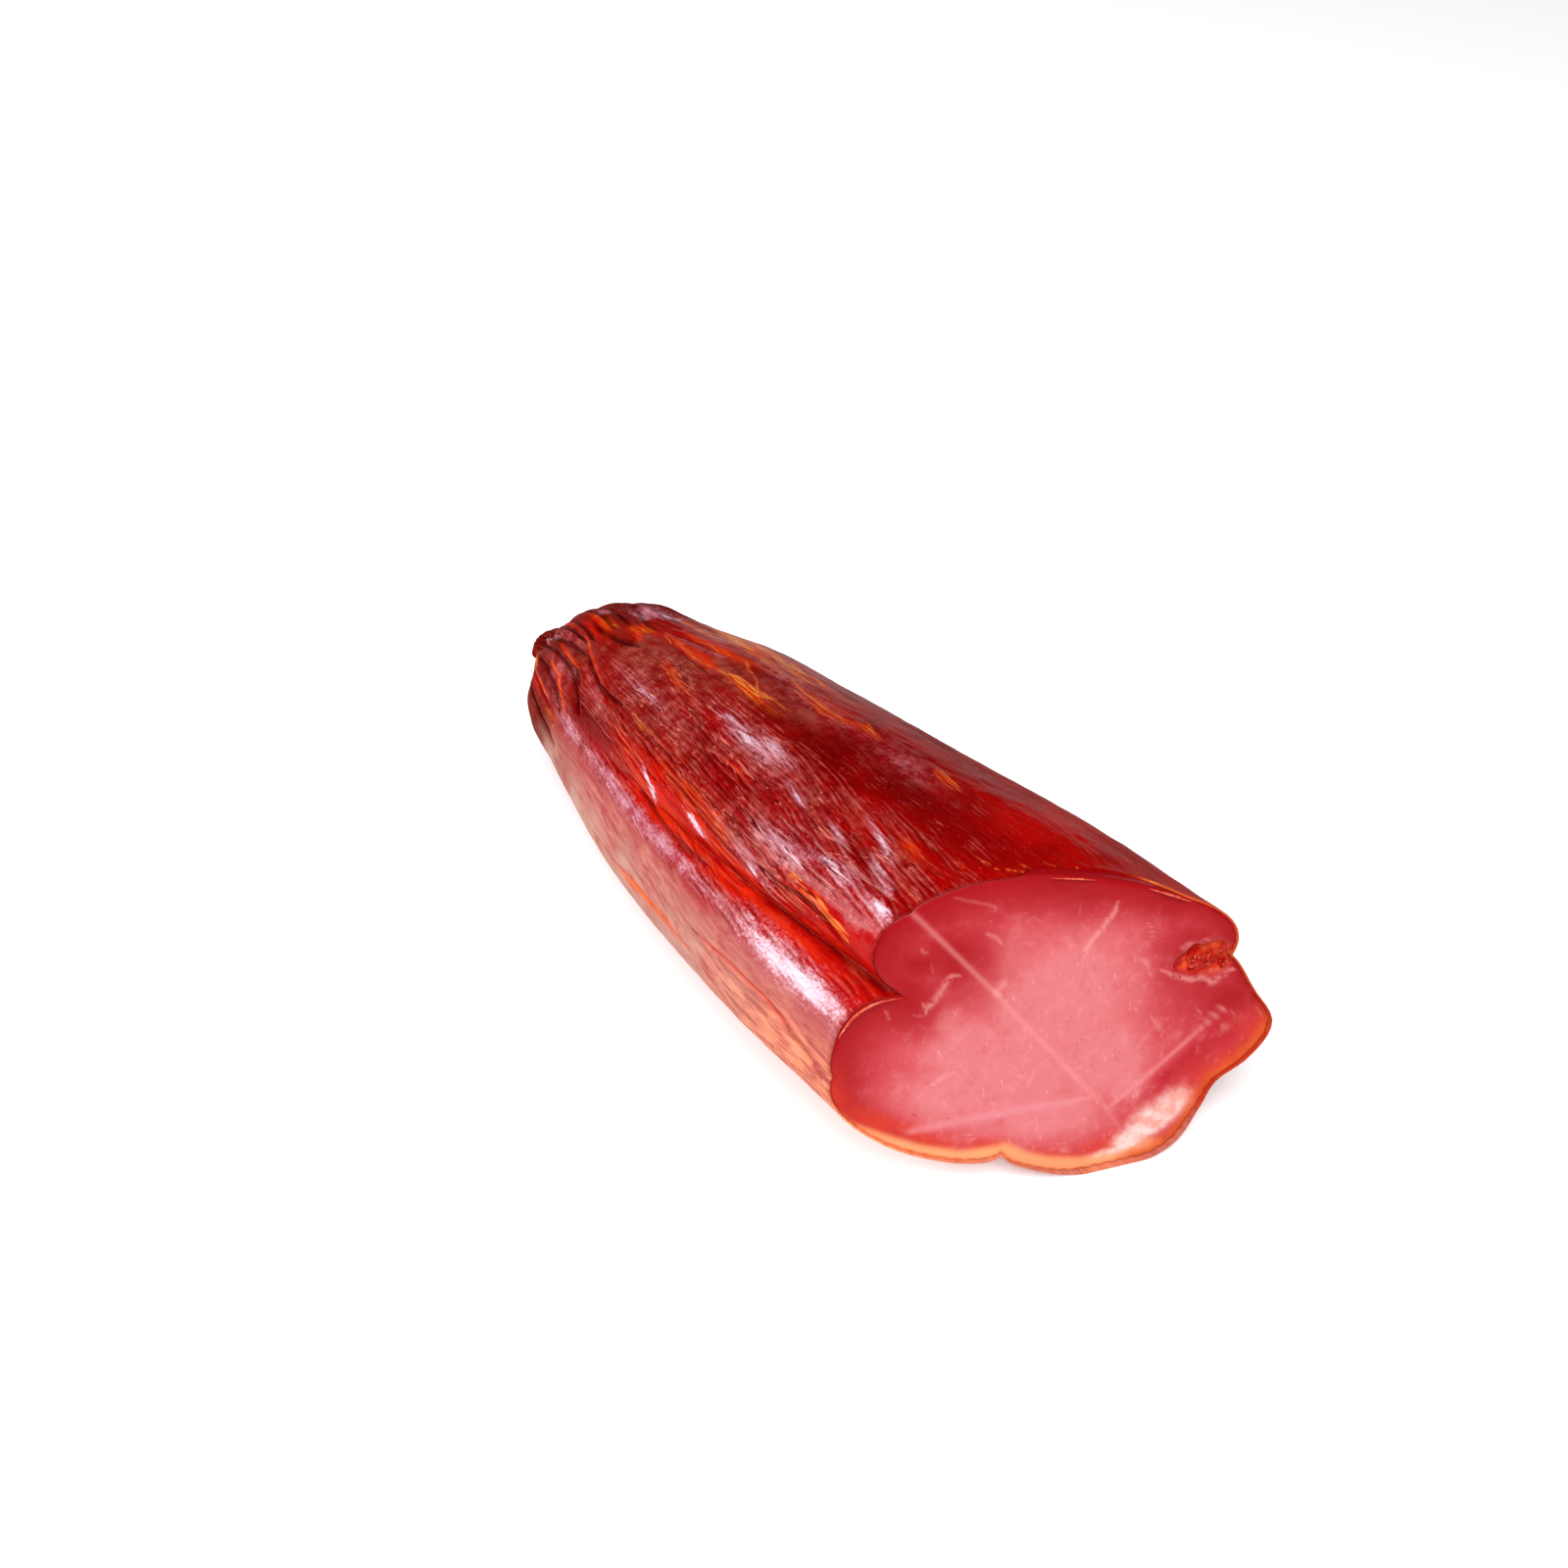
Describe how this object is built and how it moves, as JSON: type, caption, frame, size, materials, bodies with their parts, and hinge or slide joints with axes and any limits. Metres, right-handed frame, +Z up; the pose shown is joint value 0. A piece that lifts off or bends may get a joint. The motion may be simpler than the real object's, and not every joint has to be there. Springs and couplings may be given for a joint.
{
  "type": "cured pork loin",
  "caption": "Half of a dry-cured pork loin in its natural casing, lying down, gathered and pleated at one end and cut slantwise at the other.",
  "frame": {"origin": "middle of the loin's box in plan, at the height of the surface it lies on", "axes": "+X runs along the loin from the gathered end to the cut face, +Z is up, +Y is across"},
  "size_m": [0.197, 0.0854, 0.0638],
  "materials": {
    "cured_casing": "glossy, oily natural casing over dry-cured lean meat, deep red to orange-brown"
  },
  "bodies": {
    "root": {"cured_loin": "cured_casing"}
  },
  "joints": []
}
